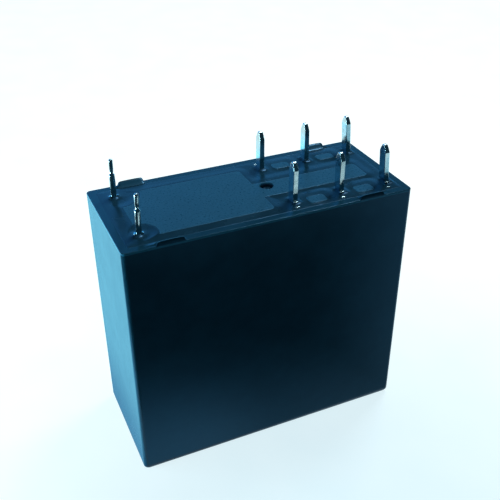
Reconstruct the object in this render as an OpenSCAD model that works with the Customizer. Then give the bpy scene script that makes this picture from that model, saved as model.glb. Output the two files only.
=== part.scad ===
// Sealed two-pole changeover power relay for a printed circuit board.
// It stands on the closed end of its cover, with its terminals up.
// Origin: the middle of the closed end. +Z runs to the terminals, +X to the contact end.
// Front is -Y, back is +Y. The armature and the springs are drawn at rest, with no current.

/* [Cover] */
// Thickness of the side walls
wall_t = 0.8; // [0.6:0.05:1]
// Thickness of the closed end
end_t = 0.9; // [0.6:0.1:1.5]
// Room between the closed end and the armature
head_room = 2.07; // [1.6:0.01:3]
// Gap between the card and the side walls
side_gap = 0.34; // [0.2:0.02:1]
// Radius of the upright edges
edge_r = 0.4; // [0.2:0.05:0.6]
// Radius of the edges round the closed end
end_r = 0.7; // [0.4:0.05:1]
// Radius of the corners inside the cover
inner_r = 0.3; // [0.15:0.05:0.5]
// Length of a stand-off tab on the rim
tab_l = 2.65; // [2:0.05:4]
// Height of a stand-off tab above the rim
tab_h = 0.42; // [0.2:0.02:0.6]
// Thickness of a stand-off tab at its level top
tab_top = 0.3; // [0.2:0.05:0.5]
// Distance from the cover's end to the middle of a tab
tab_inset = 4.45; // [3:0.05:6]
// Width of the guide ribs inside the cover
rib_w = 0.5; // [0.3:0.1:0.8]
// Depth of the guide ribs inside the cover
rib_d = 0.35; // [0.2:0.05:0.5]
// Length of the guide ribs, down from the base
rib_l = 12; // [6:0.5:16]

/* [Base and sealing resin] */
// Thickness of the base plate
base_t = 2; // [1.5:0.1:2.4]
// Gap between the base plate and the cover's walls
base_gap = 0.1; // [0.05:0.05:0.2]
// Depth of the resin over the base plate
resin_t = 1; // [0.6:0.1:1.4]
// How far the resin's surface lies below the rim
resin_drop = 0.1; // [0.05:0.05:0.3]
// Gap left round what the resin flows against
resin_fit = 0.01; // [0.005:0.005:0.03]
// How far the raised pads stand above the rim
pad_rise = 0.1; // [0:0.05:0.3]
// Distance from the big pad to the first contact terminals
pad_end_gap = 2.3; // [2:0.05:3]
// Distance from the big pad to the side walls
pad_side_gap = 1.3; // [1:0.05:2]
// Width of the strip between the contact rows
strip_w = 3.05; // [2:0.05:4]
// How far the strip is set toward the front
strip_shift = 0.28; // [0:0.02:0.6]
// Corner radius of the big pad and the strip
pad_r = 0.35; // [0.1:0.05:0.5]
// Radius of the pad's cut-out round the front coil terminal
notch_front_r = 1.9; // [1.2:0.1:2.6]
// Radius of the pad's cut-out round the back coil terminal
notch_back_r = 2.4; // [1.2:0.1:2.6]
// Length of the small pads between the contact terminals
island_l = 1.9; // [1:0.1:2.4]
// Width of the small pads between the contact terminals
island_w = 1.15; // [0.6:0.05:1.6]
// Corner radius of the small pads
island_r = 0.45; // [0.2:0.05:0.55]
// Diameter of the vent's recess
vent_d = 1.42; // [1:0.02:1.8]
// Depth of the vent's recess
vent_depth = 0.6; // [0.3:0.1:0.9]
// Diameter of the melted plug in the vent
plug_d = 0.8; // [0.4:0.05:0.9]
// Thickness of the wall between coil and contacts
insul_t = 0.8; // [0.5:0.1:0.9]
// Gap between that wall and the first contact terminals
insul_gap = 0.8; // [0.5:0.05:1.2]
// Room between the yoke and that wall
insul_room = 0.8; // [0.5:0.05:1]
// Thickness of the barrier between the two poles
barrier_t = 0.8; // [0.5:0.1:1.2]
// Height of the two ribs under the yoke
seat_h = 0.7; // [0.6:0.1:1]
// Width of the two ribs under the yoke
seat_w = 1; // [0.6:0.1:1.4]

/* [Terminals] */
// Distance from the cover's coil end to the coil terminals
coil_pin_inset = 2.2; // [2:0.05:2.4]
// Distance from the last contact terminals to the cover's contact end
contact_end_inset = 1.4; // [1.35:0.05:2.5]
// Distance from the coil terminals to the first contact terminals
coil_to_contact = 15.24; // [15:0.02:15.24]
// Pitch of the contact terminals along X
contact_pitch = 5.08; // [5:0.02:5.08]
// Distance between the two rows of terminals
row_gap = 7.62; // [7.5:0.02:7.62]
// Length of the terminals past the rim
pin_out = 4.1; // [3:0.1:6]
// Diameter of the coil terminals
coil_pin_d = 0.6; // [0.5:0.05:0.7]
// Thickness of the contact terminals
blade_t = 0.5; // [0.4:0.05:0.55]
// Width of a contact terminal's pin
pin_w = 1; // [0.8:0.05:1.1]
// Width of a contact terminal inside the relay
blade_w = 2.9; // [2.6:0.1:3]
// Length of the taper at a pin's tip
taper_l = 1.25; // [0.6:0.05:1.6]
// Width of a pin at its tip
tip_w = 0.48; // [0.3:0.02:0.6]
// Gap round a terminal in the base
slot_gap = 0.05; // [0.02:0.01:0.08]

/* [Coil and magnet] */
// Length of the bobbin, flanges included
bobbin_h = 16.1; // [15.6:0.1:16.4]
// Gap between the bobbin's flanges and the cover's side walls
flange_gap = 0.25; // [0.15:0.05:0.4]
// Gap between the bobbin's flanges and the cover's coil end
coil_end_gap = 1.1; // [0.8:0.05:1.6]
// Thickness of the flange under the pole shoe
flange_t = 0.9; // [0.6:0.1:1.2]
// Thickness of the flange at the base
foot_flange_t = 1.2; // [0.8:0.1:1.6]
// Wall of the bobbin's tube
tube_t = 0.65; // [0.4:0.05:0.9]
// How far the winding stays inside the flanges
winding_inset = 0.35; // [0.2:0.05:0.8]
// Thickness of the tape round the winding
tape_t = 0.12; // [0.06:0.02:0.2]
// Diameter of the iron core
core_d = 4; // [3.4:0.1:4.4]
// Gap between core and bobbin
core_fit = 0.05; // [0.03:0.01:0.1]
// Diameter of the pole shoe
shoe_d = 7.4; // [6:0.1:8.4]
// Thickness of the pole shoe
shoe_t = 1; // [0.8:0.1:1.2]
// Thickness of the yoke
yoke_t = 1.2; // [1:0.05:1.25]
// Width of the yoke
yoke_w = 9; // [8.6:0.1:9.2]
// Gap between the bobbin's flanges and the yoke
yoke_gap = 0.3; // [0.2:0.05:0.4]
// Radius inside the yoke's bend
bend_r = 0.3; // [0.1:0.05:0.4]

/* [Armature and push card] */
// Thickness of the armature
armature_t = 1.2; // [1:0.05:1.3]
// Width of the armature over the coil
armature_w = 9; // [8.6:0.1:9.4]
// Width of the armature's leg
leg_w = 6.4; // [5.6:0.1:6.6]
// Swing of the armature between rest and pull-in, in degrees
armature_swing = 4; // [3.6:0.1:4.2]
// Gap left at the pole when the armature is pulled in
closed_air = 0.03; // [0.02:0.01:0.08]
// Gap left between the yoke and the card at rest
leg_clear = 0.14; // [0.1:0.01:0.2]
// Thickness of the hinge spring
hinge_spring_t = 0.2; // [0.15:0.05:0.25]
// Width of each arm of the hinge spring
hinge_arm_w = 0.75; // [0.5:0.05:0.8]
// Thickness of the card's body along X
card_t = 2.35; // [1.9:0.05:2.5]
// Height of the card's body
card_h = 2.6; // [2.2:0.1:3]
// Thickness of a card finger
finger_t = 0.6; // [0.4:0.05:0.65]
// Gap between a finger and the contact blade that it passes
finger_gap = 0.2; // [0.15:0.01:0.3]
// Height of a card finger
finger_h = 1.3; // [1:0.1:1.6]
// Free play between a finger and its spring at rest
finger_play = 0.05; // [0.03:0.01:0.1]

/* [Contacts and springs] */
// Height of the contacts above the base's floor
contact_h = 14.7; // [14:0.1:15]
// Gap of the open contacts
contact_gap = 0.55; // [0.45:0.01:0.65]
// Gap left between contacts that are closed
closed_gap = 0.02; // [0.01:0.005:0.04]
// Diameter of the contact heads
head_d = 2.4; // [1.8:0.1:2.6]
// Thickness of the contact heads
head_t = 0.5; // [0.35:0.05:0.6]
// Crown of the moving contact's heads
crown = 0.12; // [0.08:0.01:0.2]
// Diameter of the contact shanks
shank_d = 1.2; // [0.8:0.1:1.4]
// Gap round a shank in its hole
shank_fit = 0.02; // [0.01:0.01:0.05]
// Thickness of the moving springs
spring_t = 0.25; // [0.15:0.05:0.3]
// Height of the tongue that carries a moving spring
tongue_h = 2.7; // [2.4:0.1:3]
// Diameter of the spring rivets' heads
rivet_d = 1.9; // [1.6:0.1:2.2]

/* [Hidden] */
$fn = 48;

// Overlap of a cutter past the face that it cuts
cut = 0.1;

// Terminal grid, which sets the cover's length
cover_l = coil_pin_inset + coil_to_contact + 2 * contact_pitch + contact_end_inset;
coil_pin_x = coil_pin_inset - cover_l / 2;
nc_x = coil_pin_x + coil_to_contact;
com_x = nc_x + contact_pitch;
no_x = com_x + contact_pitch;
row_y = row_gap / 2;

// The card with its two fingers sets the cover's width
finger_y = row_y + pin_w / 2 + finger_gap;
card_w = 2 * (finger_y + finger_t);
in_l = cover_l - 2 * wall_t;
in_w = card_w + 2 * side_gap;
cover_w = in_w + 2 * wall_t;

// Magnet and base, stacked from the closed end to the rim, set the cover's height
hinge_z = end_t + head_room + armature_t;
pole_z = hinge_z + closed_air;
bobbin_z = pole_z + shoe_t;
yoke_in_z = bobbin_z + bobbin_h;
yoke_out_z = yoke_in_z + yoke_t;
floor_z = yoke_out_z + seat_h;
plate_z = floor_z + base_t;
resin_z = plate_z + resin_t;
cover_h = resin_z + resin_drop;
pad_z = cover_h + pad_rise;
tip_z = cover_h + pin_out;

// Base plate, and its pads set from the terminals
base_l = in_l - 2 * base_gap;
base_w = in_w - 2 * base_gap;
pad_start = 0.1;
pad_shift = 0.1;
pad_x = coil_pin_x + pad_start;
pad_l = nc_x - pad_end_gap - pad_x;
pad_w = in_w - 2 * pad_side_gap;
strip_end_gap = 1.1;
island_shift = 0.05;
vent_x = nc_x - pad_end_gap / 2;

// From the first contact terminals back to the coil: wall, yoke, flanges
insul_x = nc_x - blade_t / 2 - insul_gap - insul_t;
yoke_out_x = insul_x - insul_room;
yoke_in_x = yoke_out_x - yoke_t;
flange_end_x = yoke_in_x - yoke_gap;
flange_l = flange_end_x + in_l / 2 - coil_end_gap;
flange_w = in_w - 2 * flange_gap;
flange_r = 0.8;
coil_x = flange_end_x - flange_l / 2;
winding_d = min(flange_l, flange_w) - 2 * winding_inset;
winding_fit = 0.03;
tube_r = core_d / 2 + core_fit + tube_t;
foot_reach = 1.6;
yoke_foot = core_d / 2 + foot_reach;
neck_r = 0.75 * core_d / 2;
peen_t = 0.4;

// Knife edge that the armature rocks on
hinge_x = yoke_out_x;

// Contact row: each piece is set from the common terminal outward
pole_y = row_y + pin_w / 2 - blade_w / 2;
contact_z = floor_z - contact_h;
root_z = floor_z - tongue_h;
rivet_z = root_z + tongue_h / 2;
spring_x = com_x - blade_t / 2 - spring_t;
nc_face_x = spring_x - head_t - closed_gap;
nc_blade_x = nc_face_x - head_t - blade_t;
no_face_x = spring_x + spring_t + head_t + contact_gap;
no_blade_x = no_face_x + head_t;
blade_lap = 0.3;
blade_top_z = contact_z - head_d / 2 - blade_lap;
blade_bend_r = 0.25;
blade_corner_r = 0.6;

// Swing of the moving springs, from the gap that they close
spring_swing = asin((contact_gap - closed_gap) / (root_z - contact_z));

// The fingers push where card and spring travel equally far
push_z = (hinge_z * armature_swing + root_z * spring_swing) / (armature_swing + spring_swing);
slide_z = (spring_x - hinge_x) * sin(armature_swing) / 2;

// Turns a point at rest, as [x, z], into its place with the armature pulled in
function pulled(p) =
    let (dx = p[0] - hinge_x, dz = p[1] - hinge_z, c = cos(armature_swing), s = sin(armature_swing))
    [hinge_x + dx * c + dz * s, hinge_z - dx * s + dz * c];

finger_tip = pulled([spring_x - finger_play, push_z + slide_z]);
card_top_z = finger_tip[1] - card_h / 2;
card_foot_z = card_top_z + card_h;
card_step = 0.55;
tongue_step = 1.2;
card_tongue_w = leg_w - 2 * tongue_step;
card_fit = 0.02;
tongue_short = 0.6;
tongue_end_z = card_foot_z - tongue_short;

// The leg stands off the yoke by as much as the card's foot swings back at rest
leg_gap = (card_foot_z - hinge_z) * sin(armature_swing) + leg_clear;
leg_x = hinge_x + leg_gap;
wall_to_card = 1.2;
insul_top_z = card_foot_z + wall_to_card;
barrier_lap = 1;
barrier_x = leg_x + card_t + barrier_lap;
barrier_top_z = contact_z - head_d / 2 - barrier_lap;
arm_to_leg = 0.35;
hinge_arm_y = leg_w / 2 + arm_to_leg;

// Rounded rectangle, centred, from true arcs
module round_rect(l, w, r) {
    square([l - 2 * r, w], center = true);
    square([l, w - 2 * r], center = true);
    for (x = [-1, 1], y = [-1, 1])
        translate([x * (l / 2 - r), y * (w / 2 - r)]) circle(r);
}

// What rounding by r takes off a corner at the origin that points to -X and -Y
module corner_waste(r) {
    difference() {
        translate([-cut, -cut]) square(r + cut);
        translate([r, r]) circle(r);
    }
}

// Strip of thickness t bent once: along +X for run, then up to rise, inside radius r
module bent_strip(run, rise, r, t) {
    difference() {
        union() {
            square([run, t]);
            translate([run - t, 0]) square([t, rise]);
            translate([run - t - r, t / 2]) square(r + t / 2);
        }
        translate([run - t - r, t + r]) circle(r);
        translate([run, 0]) mirror([1, 0]) corner_waste(r + t);
    }
}

// Extrudes a profile drawn as [x, z] along Y, from y0 over a width w
module along_y(y0, w) {
    translate([0, y0 + w, 0]) rotate([90, 0, 0]) linear_extrude(w) children();
}

// Extrudes a profile drawn as [y, z] along X, from x0 over a thickness t
module along_x(x0, t) {
    translate([x0, 0, 0]) rotate([90, 0, 90]) linear_extrude(t) children();
}

// Places a piece that is drawn for the back pole
module pole(side) {
    if (side == "back") children();
    else mirror([0, 1, 0]) children();
}

// Turns the armature and its card from pulled in to rest
module at_rest() {
    translate([hinge_x, 0, hinge_z]) rotate([0, -armature_swing, 0])
        translate([-hinge_x, 0, -hinge_z]) children();
}

// Upright section through the cover's block, w wide, rounded at the closed end
module end_profile(w) {
    translate([0, (cover_h + end_r) / 2]) round_rect(w, cover_h + end_r, end_r);
}

// Outer solid of the cover: three crossed extrusions give every edge a true arc
module cover_block() {
    intersection() {
        linear_extrude(cover_h) round_rect(cover_l, cover_w, edge_r);
        along_y(-cover_w / 2 - cut, cover_w + 2 * cut) end_profile(cover_l);
        along_x(-cover_l / 2 - cut, cover_l + 2 * cut) end_profile(cover_w);
    }
}

// One stand-off tab: steep ends along the wall, crossed with a slope down to the resin
module stand_off() {
    foot = tab_l / 2;
    wall_y = cover_w / 2;
    top_z = cover_h + tab_h;
    low_z = cover_h + 0.2 * tab_h;
    shoulder = [foot - 0.25 * tab_h, cover_h + 0.75 * tab_h];
    flat = [foot - 0.8 * tab_h, top_z];
    slope = [wall_t - tab_top, top_z - low_z];
    over = 0.2;
    intersection() {
        along_y(wall_y - wall_t, wall_t)
            polygon([
                [-foot, cover_h - cut], [foot, cover_h - cut], [foot, cover_h], shoulder,
                flat, [-flat[0], flat[1]], [-shoulder[0], shoulder[1]], [-foot, cover_h]
            ]);
        along_x(-foot - cut, tab_l + 2 * cut)
            polygon([
                [wall_y - wall_t - over * slope[0], cover_h - 2 * cut], [wall_y + cut, cover_h - 2 * cut],
                [wall_y + cut, top_z + over * slope[1]],
                [wall_y - tab_top + over * slope[0], top_z + over * slope[1]],
                [wall_y - wall_t - over * slope[0], low_z - over * slope[1]]
            ]);
    }
}

module cover() {
    color("#1b1f24") {
        difference() {
            cover_block();
            translate([0, 0, end_t]) linear_extrude(cover_h) round_rect(in_l, in_w, inner_r);
        }
        for (side = ["front", "back"], x = [-1, 1])
            translate([x * (cover_l / 2 - tab_inset), 0, 0]) pole(side) stand_off();
        for (side = ["front", "back"], x = [-1, 1])
            translate([x * (in_l / 2 - inner_r - rib_w), 0, 0]) pole(side)
                translate([-rib_w / 2, in_w / 2 - rib_d, floor_z - rib_l])
                    cube([rib_w, rib_d + wall_t / 2, rib_l]);
    }
}

// Outline of the raised pads on the base, grown by g on every side
module pad_outline(g) {
    lap = 1;
    root_x = pad_x + pad_l - lap;
    strip_l = no_x - strip_end_gap - root_x;
    corner_r = min(island_r, 0.45 * island_w);
    difference() {
        union() {
            translate([pad_x + pad_l / 2, -pad_shift])
                round_rect(pad_l + 2 * g, pad_w + 2 * g, pad_r);
            translate([root_x - g, -strip_shift - strip_w / 2 - g]) square([2 * lap, strip_w + 2 * g]);
            translate([root_x + strip_l / 2, -strip_shift])
                round_rect(strip_l + 2 * g, strip_w + 2 * g, pad_r);
        }
        translate([coil_pin_x, -row_y]) circle(notch_front_r - g);
        translate([coil_pin_x, row_y]) circle(notch_back_r - g);
    }
    for (x = [nc_x, com_x], y = [-1, 1])
        translate([x + contact_pitch / 2, y * (row_y + island_shift)])
            round_rect(island_l + 2 * g, island_w + 2 * g, corner_r);
}

// Every place where a terminal passes through, as a rectangle grown by g
module terminal_slots(g) {
    for (y = [-row_y, row_y]) {
        translate([coil_pin_x, y]) square(coil_pin_d + 2 * g, center = true);
        for (x = [nc_x, com_x, no_x])
            translate([x, y]) square([blade_t + 2 * g, pin_w + 2 * g], center = true);
    }
}

module base() {
    color("#23282e") difference() {
        union() {
            translate([0, 0, floor_z]) linear_extrude(base_t) round_rect(base_l, base_w, inner_r);
            translate([0, 0, plate_z - cut]) linear_extrude(pad_z - plate_z + cut) pad_outline(0);
            translate([insul_x, -base_w / 2, insul_top_z])
                cube([insul_t, base_w, floor_z - insul_top_z + cut]);
            translate([barrier_x, -barrier_t / 2, barrier_top_z])
                cube([base_l / 2 - barrier_x, barrier_t, floor_z - barrier_top_z + cut]);
            for (x = [coil_x - yoke_foot, coil_x + yoke_foot - seat_w])
                translate([x, -yoke_w / 2, yoke_out_z]) cube([seat_w, yoke_w, seat_h + cut]);
        }
        translate([0, 0, floor_z - cut]) linear_extrude(pad_z - floor_z + 2 * cut)
            terminal_slots(slot_gap);
        translate([vent_x, -pad_shift, pad_z - vent_depth]) difference() {
            cylinder(h = vent_depth + cut, d = vent_d);
            translate([0, 0, -cut]) cylinder(h = vent_depth / 2 + cut, d = plug_d);
        }
    }
}

module sealing_resin() {
    color("#0f1418") difference() {
        translate([0, 0, plate_z]) linear_extrude(resin_t)
            round_rect(in_l - 2 * resin_fit, in_w - 2 * resin_fit, inner_r);
        translate([0, 0, plate_z - cut]) linear_extrude(resin_t + 2 * cut) {
            pad_outline(resin_fit);
            terminal_slots(resin_fit);
        }
    }
}

// Block of the bobbin's foot that holds a coil terminal
module terminal_block() {
    block_w = 1.9;
    translate([coil_pin_x - block_w / 2, row_y - block_w / 2, yoke_in_z - foot_flange_t])
        cube([coil_x - flange_l / 2 - coil_pin_x + block_w, block_w, foot_flange_t]);
    translate([coil_pin_x - block_w / 2, row_y - block_w / 2, yoke_in_z - cut])
        cube([block_w, block_w, floor_z - yoke_in_z + cut]);
}

module coil_bobbin() {
    color("#d8d2c0") translate([coil_x, 0, 0]) difference() {
        union() {
            translate([0, 0, bobbin_z]) cylinder(h = bobbin_h, r = tube_r);
            translate([0, 0, bobbin_z]) linear_extrude(flange_t)
                round_rect(flange_l, flange_w, flange_r);
            translate([0, 0, yoke_in_z - foot_flange_t]) linear_extrude(foot_flange_t)
                round_rect(flange_l, flange_w, flange_r);
            translate([-coil_x, 0, 0]) for (side = ["front", "back"]) pole(side) terminal_block();
        }
        translate([0, 0, bobbin_z - cut]) cylinder(h = bobbin_h + 2 * cut, r = core_d / 2 + core_fit);
        for (y = [-row_y, row_y])
            translate([coil_pin_x - coil_x, y, (yoke_in_z - foot_flange_t + floor_z) / 2])
                cube([coil_pin_d, coil_pin_d, 3 * base_t + 4 * cut], center = true);
    }
}

// Windings between the flanges, with a wire tail to each coil terminal
module coil_winding() {
    z0 = bobbin_z + flange_t + winding_fit;
    z1 = yoke_in_z - foot_flange_t - winding_fit;
    wire_d = 0.24;
    tail_drop = 0.5;
    tail_sink = 0.3;
    tail_side = 0.4;
    tail_z = z1 - tail_drop;
    reach = winding_d / 2 - tail_sink;
    tail_y = row_y - tail_side;
    tail_x = coil_x - sqrt(reach * reach - tail_y * tail_y);
    color("#b4622c") {
        difference() {
            translate([coil_x, 0, z0]) cylinder(h = z1 - z0, d = winding_d);
            translate([coil_x, 0, z0 - cut])
                cylinder(h = z1 - z0 + 2 * cut, r = tube_r + winding_fit);
        }
        for (side = ["front", "back"]) pole(side)
            translate([coil_pin_x + coil_pin_d / 2, tail_y - wire_d / 2, tail_z])
                cube([tail_x - coil_pin_x - coil_pin_d / 2, wire_d, wire_d]);
    }
}

module coil_tape() {
    pole_gap = 0.4;
    tail_room = 1.4;
    z0 = bobbin_z + flange_t + pole_gap;
    z1 = yoke_in_z - foot_flange_t - tail_room;
    color("#c9a227") translate([coil_x, 0, z0]) difference() {
        cylinder(h = z1 - z0, d = winding_d + 2 * (winding_fit + tape_t));
        translate([0, 0, -cut]) cylinder(h = z1 - z0 + 2 * cut, d = winding_d + 2 * winding_fit);
    }
}

// Core with its pole shoe, and a neck that is peened over behind the yoke
module iron_core() {
    peen_r = 0.95 * core_d / 2;
    color("#9aa0a6") translate([coil_x, 0, 0]) {
        translate([0, 0, pole_z]) cylinder(h = shoe_t, d = shoe_d);
        translate([0, 0, bobbin_z - cut]) cylinder(h = yoke_in_z - bobbin_z + cut, d = core_d);
        translate([0, 0, yoke_in_z - cut]) cylinder(h = yoke_t + peen_t + cut, r = neck_r);
        translate([0, 0, yoke_out_z]) cylinder(h = peen_t, r = peen_r);
    }
}

// L-shaped yoke: foot behind the coil, upright beside it, knife edge at its end
module yoke() {
    color("#8d9398") difference() {
        along_y(-yoke_w / 2, yoke_w)
            translate([coil_x - yoke_foot, yoke_out_z]) mirror([0, 1])
                bent_strip(yoke_out_x - coil_x + yoke_foot, yoke_out_z - pole_z, bend_r, yoke_t);
        translate([coil_x, 0, yoke_in_z - cut])
            cylinder(h = yoke_t + 2 * cut, r = neck_r + shank_fit);
    }
}

// Armature: a plate over the pole and a leg down the contact side
module armature() {
    heel_l = 1;
    heel_step = 0.2;
    shoe_lap = 0.3;
    plate_r = 0.6;
    plate_l = hinge_x - coil_x + shoe_d / 2 + shoe_lap;
    top_z = hinge_z - armature_t;
    color("#a3a8ad") at_rest() {
        translate([0, 0, top_z]) linear_extrude(armature_t)
            translate([hinge_x - heel_step - plate_l / 2, 0])
                round_rect(plate_l, armature_w, plate_r);
        along_y(-leg_w / 2, leg_w)
            translate([hinge_x - heel_l, top_z])
                bent_strip(heel_l + leg_gap + armature_t, card_top_z - top_z, bend_r, armature_t);
        along_y(-card_tongue_w / 2, card_tongue_w)
            translate([leg_x, card_top_z - cut])
                square([armature_t, tongue_end_z - card_top_z + cut]);
    }
}

// Moulded card: a body on the leg's tongue and a finger to each moving spring
module push_card() {
    color("#e6e3d8") at_rest() difference() {
        union() {
            translate([leg_x, -leg_w / 2, card_top_z]) cube([card_t, leg_w, card_h]);
            translate([leg_x + card_step, -card_w / 2, card_top_z])
                cube([card_t - card_step, card_w, card_h]);
            for (side = ["front", "back"]) pole(side)
                along_y(finger_y, finger_t) {
                    nose_r = finger_h / 2;
                    body_x = leg_x + card_t - cut;
                    translate([body_x, finger_tip[1] - nose_r])
                        square([finger_tip[0] - nose_r - body_x, finger_h]);
                    translate([finger_tip[0] - nose_r, finger_tip[1]]) circle(nose_r);
                }
        }
        translate([leg_x - cut, -card_tongue_w / 2 - card_fit, card_top_z - cut])
            cube([armature_t + card_fit + cut, card_tongue_w + 2 * card_fit,
                tongue_end_z + card_fit - card_top_z + cut]);
    }
}

// Hinge spring: a plate on the yoke and two arms that reach over the armature's heel
module hinge_spring() {
    plate_room = 0.6;
    heel_room = 0.25;
    over_l = 1.8;
    bend_in = 0.1;
    plate_top_z = insul_top_z + plate_room;
    plate_h = 0.6 * (yoke_in_z - bend_r - plate_top_z);
    over_z = hinge_z - armature_t - heel_room - hinge_spring_t;
    arm_w = 2 * (hinge_arm_y + hinge_arm_w);
    color("#c7ccd1") {
        translate([yoke_out_x, -arm_w / 2, plate_top_z]) cube([hinge_spring_t, arm_w, plate_h]);
        for (side = ["front", "back"]) pole(side) along_y(hinge_arm_y, hinge_arm_w)
            translate([yoke_out_x - over_l, over_z])
                bent_strip(over_l + hinge_spring_t, plate_top_z + cut - over_z, bend_in, hinge_spring_t);
    }
}

// Coil terminal: square where bobbin, base and resin hold it, round past the resin
module coil_terminal() {
    r = coil_pin_d / 2;
    stub = 1.2;
    stub_z = yoke_in_z - foot_flange_t - stub;
    color("#cfd5da") translate([coil_pin_x, row_y, 0]) {
        translate([-r, -r, stub_z]) cube([coil_pin_d, coil_pin_d, resin_z - stub_z]);
        translate([0, 0, resin_z]) cylinder(h = tip_z - r - resin_z, r = r);
        translate([0, 0, tip_z - r]) sphere(r);
    }
}

// Pin of a contact terminal: a flat blade with a tapered, rounded tip
module blade_pin(x) {
    r = tip_w / 2;
    along_x(x - blade_t / 2, blade_t) translate([row_y, 0]) {
        polygon([
            [-pin_w / 2, floor_z], [pin_w / 2, floor_z], [pin_w / 2, tip_z - taper_l],
            [r, tip_z - r], [-r, tip_z - r], [-pin_w / 2, tip_z - taper_l]
        ]);
        translate([0, tip_z - r]) circle(r);
    }
}

// Outline of a terminal's wide part in [y, z], with rounded top corners
module blade_outline(top_z) {
    translate([pole_y, (top_z + floor_z) / 2 + blade_corner_r / 2])
        round_rect(blade_w, floor_z - top_z + blade_corner_r, blade_corner_r);
}

// Fixed contact terminal: the pin, a foot on the base's floor and an upright blade
module fixed_terminal(pin_x, blade_x) {
    back_turn = blade_x < pin_x ? 1 : 0;
    run = abs(blade_x + blade_t / 2 - pin_x) + blade_t;
    blade_pin(pin_x);
    difference() {
        intersection() {
            along_y(pole_y - blade_w / 2, blade_w) translate([pin_x, floor_z]) mirror([back_turn, 0])
                translate([-blade_t / 2, 0]) mirror([0, 1]) difference() {
                    bent_strip(run, floor_z - blade_top_z, blade_bend_r, blade_t);
                    translate([0, blade_t]) mirror([0, 1]) corner_waste(blade_t);
                }
            along_x(min(pin_x, blade_x) - blade_t, abs(blade_x - pin_x) + 3 * blade_t)
                blade_outline(blade_top_z);
        }
        translate([blade_x - cut, pole_y, contact_z]) rotate([0, 90, 0])
            cylinder(h = blade_t + 2 * cut, r = shank_d / 2 + shank_fit);
    }
}

// Common terminal: the pin and a tongue that carries the moving spring
module com_terminal() {
    blade_pin(com_x);
    difference() {
        along_x(com_x - blade_t / 2, blade_t)
            translate([pole_y - blade_w / 2, root_z]) square([blade_w, tongue_h]);
        translate([com_x, pole_y, rivet_z]) rotate([0, 90, 0])
            cylinder(h = blade_t + 2 * cut, r = shank_d / 2 + shank_fit, center = true);
    }
}

// Contact head along +X from the origin, crowned by c
module contact_head(c) {
    r = head_d / 2;
    ball = c > 0 ? (r * r + c * c) / (2 * c) : 0;
    rotate([0, 90, 0]) {
        if (c > 0) intersection() {
            cylinder(h = head_t, r = r);
            translate([0, 0, head_t - ball]) sphere(ball, $fn = 180);
        }
        else cylinder(h = head_t, r = r);
    }
}

// Fixed contact: head on the blade, shank through it, upset tail behind
module fixed_contact(face_x, dir) {
    tail_t = 0.15;
    tail_d = 1.5 * shank_d;
    translate([face_x, pole_y, contact_z]) mirror([dir < 0 ? 1 : 0, 0, 0]) {
        translate([-head_t, 0, 0]) contact_head(0);
        translate([-head_t - blade_t, 0, 0]) rotate([0, 90, 0])
            cylinder(h = blade_t + cut, d = shank_d);
        translate([-head_t - blade_t - tail_t, 0, 0]) rotate([0, 90, 0])
            cylinder(h = tail_t, d = tail_d);
    }
}

// Moving spring: a leaf from the tongue to past the contact, with an ear for the finger
module moving_spring() {
    foot_room = 0.35;
    side_step = 0.05;
    ear_step = 0.15;
    ear_lap = 0.5;
    ear_r = 0.3;
    hole_play = 0.1;
    foot_z = floor_z - foot_room;
    end_r = blade_w / 2 - side_step;
    ear_w = finger_y + finger_t - ear_step - pole_y;
    ear_h = finger_h + 2 * slide_z + 2 * ear_lap;
    color("#c98a4b") difference() {
        along_x(spring_x, spring_t) {
            translate([pole_y - end_r, contact_z]) square([2 * end_r, foot_z - contact_z]);
            translate([pole_y, contact_z]) circle(end_r);
            translate([pole_y + ear_w / 2, push_z]) round_rect(ear_w, ear_h, ear_r);
        }
        translate([spring_x - cut, pole_y, contact_z]) rotate([0, 90, 0])
            cylinder(h = spring_t + 2 * cut, r = shank_d / 2 + shank_fit);
        translate([spring_x - cut, pole_y, rivet_z]) rotate([0, 90, 0])
            cylinder(h = spring_t + 2 * cut, r = shank_d / 2 + hole_play);
    }
}

// Moving contact: crowned heads on both sides of the spring
module moving_contact() {
    translate([0, pole_y, contact_z]) {
        translate([spring_x + spring_t, 0, 0]) contact_head(crown);
        translate([spring_x, 0, 0]) mirror([1, 0, 0]) contact_head(crown);
        translate([spring_x - cut, 0, 0]) rotate([0, 90, 0])
            cylinder(h = spring_t + 2 * cut, d = shank_d);
    }
}

// Rivet through spring and tongue, with room for the leaf's foot to tip
module spring_rivet() {
    tip_room = 0.12;
    head = 0.35;
    translate([spring_x - tip_room - head, pole_y, rivet_z]) rotate([0, 90, 0]) {
        cylinder(h = head, d = rivet_d);
        cylinder(h = head + tip_room + spring_t + blade_t + head, d = shank_d);
        translate([0, 0, head + tip_room + spring_t + blade_t]) cylinder(h = head, d = rivet_d);
    }
}

cover();
base();
sealing_resin();
coil_bobbin();
coil_winding();
coil_tape();
iron_core();
yoke();
armature();
push_card();
hinge_spring();
for (side = ["front", "back"]) {
    pole(side) coil_terminal();
    color("#c9ced3") pole(side) fixed_terminal(nc_x, nc_blade_x);
    color("#c9ced3") pole(side) com_terminal();
    color("#c9ced3") pole(side) fixed_terminal(no_x, no_blade_x);
    color("#e3e3e0") pole(side) fixed_contact(nc_face_x, 1);
    color("#e3e3e0") pole(side) fixed_contact(no_face_x, -1);
    pole(side) moving_spring();
    color("#e3e3e0") pole(side) moving_contact();
    color("#b08d57") pole(side) spring_rivet();
}
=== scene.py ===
"""Looks of a sealed two-pole relay that stands on the closed end of its cover, terminals up.

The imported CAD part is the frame. Cover, sealing resin, pads and terminals are redrawn here as fine
surfaces with soft edges; the mechanism inside keeps its solids and gets its finishes.
Sizes are in metres; MM turns millimetres into metres.
"""

import math

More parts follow.
